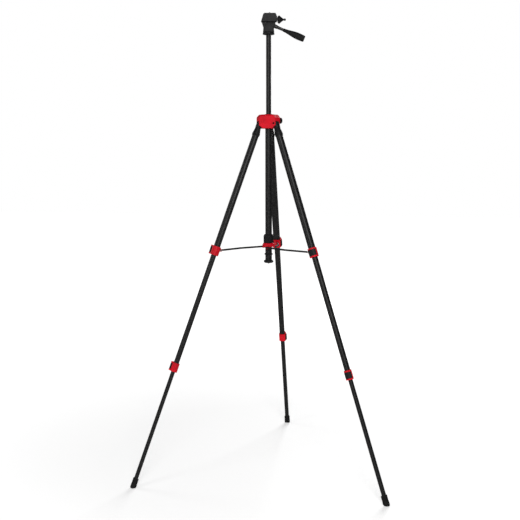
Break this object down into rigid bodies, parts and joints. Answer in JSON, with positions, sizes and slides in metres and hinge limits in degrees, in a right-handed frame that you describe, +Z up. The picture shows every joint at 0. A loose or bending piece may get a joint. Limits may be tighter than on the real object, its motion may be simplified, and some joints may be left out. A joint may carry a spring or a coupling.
{
  "type": "laser level tripod",
  "caption": "Folding tripod for a laser level: telescoping legs with flip locks, spreader, sliding centre column and pan-and-tilt head with a handle.",
  "frame": {"origin": "on the floor, under the middle of the box around the open tripod; the column axis stands 141.75 mm behind it along -Y", "axes": "+Z up; the rear leg points along +Y, the left and right legs are 120 degrees from it on the -Y side; the head's handle points to +X, 9.3 degrees towards +Y"},
  "size_m": [1.0072, 0.8753, 1.8353],
  "materials": {
    "black_tube": "black powder coat, satin",
    "black_plastic": "moulded, fine grain",
    "red_plastic": "moulded, semi-gloss",
    "rubber": "matt",
    "steel": "zinc plated",
    "black_steel": "black oxide"
  },
  "bodies": {
    "frame": {"shoulder": "red_plastic", "shoulder_bushing": "black_plastic", "hinge_screws": "black_steel", "centre_tube": "black_tube", "stop_ring": "black_plastic", "tube_end_cap": "black_plastic", "end_cap_screw": "steel"},
    "column": {"column_tube": "black_tube", "column_guide": "black_plastic", "pan_base": "black_plastic"},
    "column_lock": {"column_lock_knob": "black_plastic", "column_lock_screw": "steel"},
    "hub": {"hub_ring": "red_plastic"},
    "hub_lock": {"hub_collar": "black_plastic"},
    "pan_head": {"pan_yoke": "black_plastic", "tilt_axle": "steel"},
    "tilt_head": {"tilt_block": "black_plastic"},
    "plate": {"instrument_plate": "black_plastic", "plate_pad": "rubber", "instrument_stud": "steel"},
    "flip_lock": {"flip_knob": "black_plastic", "flip_bolt": "steel"},
    "handle": {"handle_rod": "black_steel", "handle_grip": "rubber"},
    "leg_left": {"leg_cap_left": "black_plastic", "top_tube_left": "black_tube", "upper_collar_left": "red_plastic", "upper_pins_left": "steel"},
    "middle_left": {"middle_tube_left": "black_tube", "lower_collar_left": "red_plastic", "lower_lever_pin_left": "steel"},
    "lower_left": {"lower_tube_left": "black_tube", "foot_left": "rubber"},
    "upper_lever_left": {"upper_lever_left": "black_plastic"},
    "lower_lever_left": {"lower_lever_left": "black_plastic"},
    "arm_left": {"spreader_arm_left": "black_steel"},
    "leg_right": {"leg_cap_right": "black_plastic", "top_tube_right": "black_tube", "upper_collar_right": "red_plastic", "upper_pins_right": "steel"},
    "middle_right": {"middle_tube_right": "black_tube", "lower_collar_right": "red_plastic", "lower_lever_pin_right": "steel"},
    "lower_right": {"lower_tube_right": "black_tube", "foot_right": "rubber"},
    "upper_lever_right": {"upper_lever_right": "black_plastic"},
    "lower_lever_right": {"lower_lever_right": "black_plastic"},
    "arm_right": {"spreader_arm_right": "black_steel"},
    "leg_rear": {"leg_cap_rear": "black_plastic", "top_tube_rear": "black_tube", "upper_collar_rear": "red_plastic", "upper_pins_rear": "steel"},
    "middle_rear": {"middle_tube_rear": "black_tube", "lower_collar_rear": "red_plastic", "lower_lever_pin_rear": "steel"},
    "lower_rear": {"lower_tube_rear": "black_tube", "foot_rear": "rubber"},
    "upper_lever_rear": {"upper_lever_rear": "black_plastic"},
    "lower_lever_rear": {"lower_lever_rear": "black_plastic"},
    "arm_rear": {"spreader_arm_rear": "black_steel"}
  },
  "joints": [
    {"name": "leg_fold_left", "type": "hinge", "parent": "frame", "child": "leg_left", "pos_m": [-0.03334, -0.161, 1.4125], "axis": [0.5, -0.866, 0], "range_deg": [0, 18]},
    {"name": "middle_slide_left", "type": "slide", "parent": "leg_left", "child": "middle_left", "axis": [0.3042, 0.1756, 0.9363], "range_m": [0, 0.425]},
    {"name": "lower_slide_left", "type": "slide", "parent": "middle_left", "child": "lower_left", "axis": [0.3042, 0.1756, 0.9363], "range_m": [0, 0.43]},
    {"name": "upper_lever_turn_left", "type": "hinge", "parent": "leg_left", "child": "upper_lever_left", "pos_m": [-0.21125, -0.25199, 0.9245], "axis": [0.3042, 0.1756, 0.9363], "range_deg": [0, 110]},
    {"name": "lower_lever_turn_left", "type": "hinge", "parent": "middle_left", "child": "lower_lever_left", "pos_m": [-0.35571, -0.33679, 0.47254], "axis": [0.3042, 0.1756, 0.9363], "range_deg": [0, 110]},
    {"name": "arm_turn_left", "type": "hinge", "parent": "leg_left", "child": "arm_left", "pos_m": [-0.17379, -0.24209, 0.91902], "axis": [0.5, -0.866, 0], "range_deg": [0, 61.73]},
    {"name": "leg_fold_right", "type": "hinge", "parent": "frame", "child": "leg_right", "pos_m": [0.03334, -0.161, 1.4125], "axis": [0.5, 0.866, 0], "range_deg": [0, 18]},
    {"name": "middle_slide_right", "type": "slide", "parent": "leg_right", "child": "middle_right", "axis": [-0.3042, 0.1756, 0.9363], "range_m": [0, 0.425]},
    {"name": "lower_slide_right", "type": "slide", "parent": "middle_right", "child": "lower_right", "axis": [-0.3042, 0.1756, 0.9363], "range_m": [0, 0.43]},
    {"name": "upper_lever_turn_right", "type": "hinge", "parent": "leg_right", "child": "upper_lever_right", "pos_m": [0.2011, -0.26957, 0.9245], "axis": [-0.3042, 0.1756, 0.9363], "range_deg": [0, 110]},
    {"name": "lower_lever_turn_right", "type": "hinge", "parent": "middle_right", "child": "lower_lever_right", "pos_m": [0.34676, -0.35229, 0.47254], "axis": [-0.3042, 0.1756, 0.9363], "range_deg": [0, 110]},
    {"name": "arm_turn_right", "type": "hinge", "parent": "leg_right", "child": "arm_right", "pos_m": [0.17379, -0.24209, 0.91902], "axis": [0.5, 0.866, 0], "range_deg": [0, 61.73]},
    {"name": "leg_fold_rear", "type": "hinge", "parent": "frame", "child": "leg_rear", "pos_m": [0, -0.10325, 1.4125], "axis": [-1, 0, 0], "range_deg": [0, 18]},
    {"name": "middle_slide_rear", "type": "slide", "parent": "leg_rear", "child": "middle_rear", "axis": [0, -0.3513, 0.9363], "range_m": [0, 0.425]},
    {"name": "lower_slide_rear", "type": "slide", "parent": "middle_rear", "child": "lower_rear", "axis": [0, -0.3513, 0.9363], "range_m": [0, 0.43]},
    {"name": "upper_lever_turn_rear", "type": "hinge", "parent": "leg_rear", "child": "upper_lever_rear", "pos_m": [0.01015, 0.09632, 0.9245], "axis": [0, -0.3513, 0.9363], "range_deg": [0, 110]},
    {"name": "lower_lever_turn_rear", "type": "hinge", "parent": "middle_rear", "child": "lower_lever_rear", "pos_m": [0.00895, 0.26382, 0.47254], "axis": [0, -0.3513, 0.9363], "range_deg": [0, 110]},
    {"name": "arm_turn_rear", "type": "hinge", "parent": "leg_rear", "child": "arm_rear", "pos_m": [0, 0.05893, 0.91902], "axis": [-1, 0, 0], "range_deg": [0, 61.73]},
    {"name": "hub_slide", "type": "slide", "parent": "frame", "child": "hub", "axis": [0, 0, 1], "range_m": [0, 0.15519]},
    {"name": "hub_lock_turn", "type": "hinge", "parent": "hub", "child": "hub_lock", "pos_m": [0, -0.14175, 0.95], "axis": [0, 0, 1], "range_deg": [0, 60]},
    {"name": "column_slide", "type": "slide", "parent": "frame", "child": "column", "axis": [0, 0, -1], "range_m": [0, 0.27]},
    {"name": "column_lock_turn", "type": "hinge", "parent": "frame", "child": "column_lock", "pos_m": [0, -0.14175, 1.424], "axis": [0.866, 0.5, 0], "range_deg": [0, 270]},
    {"name": "pan", "type": "hinge", "parent": "column", "child": "pan_head", "pos_m": [0, -0.14175, 1.76], "axis": [0, 0, 1], "continuous": true},
    {"name": "tilt", "type": "hinge", "parent": "pan_head", "child": "tilt_head", "pos_m": [0, -0.14175, 1.775], "axis": [-0.1616, 0.9869, 0], "range_deg": [-45, 28]},
    {"name": "flip", "type": "hinge", "parent": "tilt_head", "child": "plate", "pos_m": [0, -0.14175, 1.808], "axis": [-0.9869, -0.1616, 0], "range_deg": [0, 90]},
    {"name": "flip_lock_turn", "type": "hinge", "parent": "plate", "child": "flip_lock", "pos_m": [0, -0.14175, 1.808], "axis": [0.9869, 0.1616, 0], "range_deg": [0, 270]},
    {"name": "handle_turn", "type": "hinge", "parent": "tilt_head", "child": "handle", "pos_m": [0.01974, -0.13852, 1.785], "axis": [0.9084, 0.1488, -0.3907], "range_deg": [0, 270]}
  ],
  "couplings": [
    {"joint": "arm_turn_left", "follows": "leg_fold_left", "ratio": 3.4294},
    {"joint": "leg_fold_right", "follows": "leg_fold_left", "ratio": 1},
    {"joint": "arm_turn_right", "follows": "leg_fold_left", "ratio": 3.4294},
    {"joint": "leg_fold_rear", "follows": "leg_fold_left", "ratio": 1},
    {"joint": "arm_turn_rear", "follows": "leg_fold_left", "ratio": 3.4294},
    {"joint": "hub_slide", "follows": "leg_fold_left", "m_per_rad": 0.49399}
  ]
}
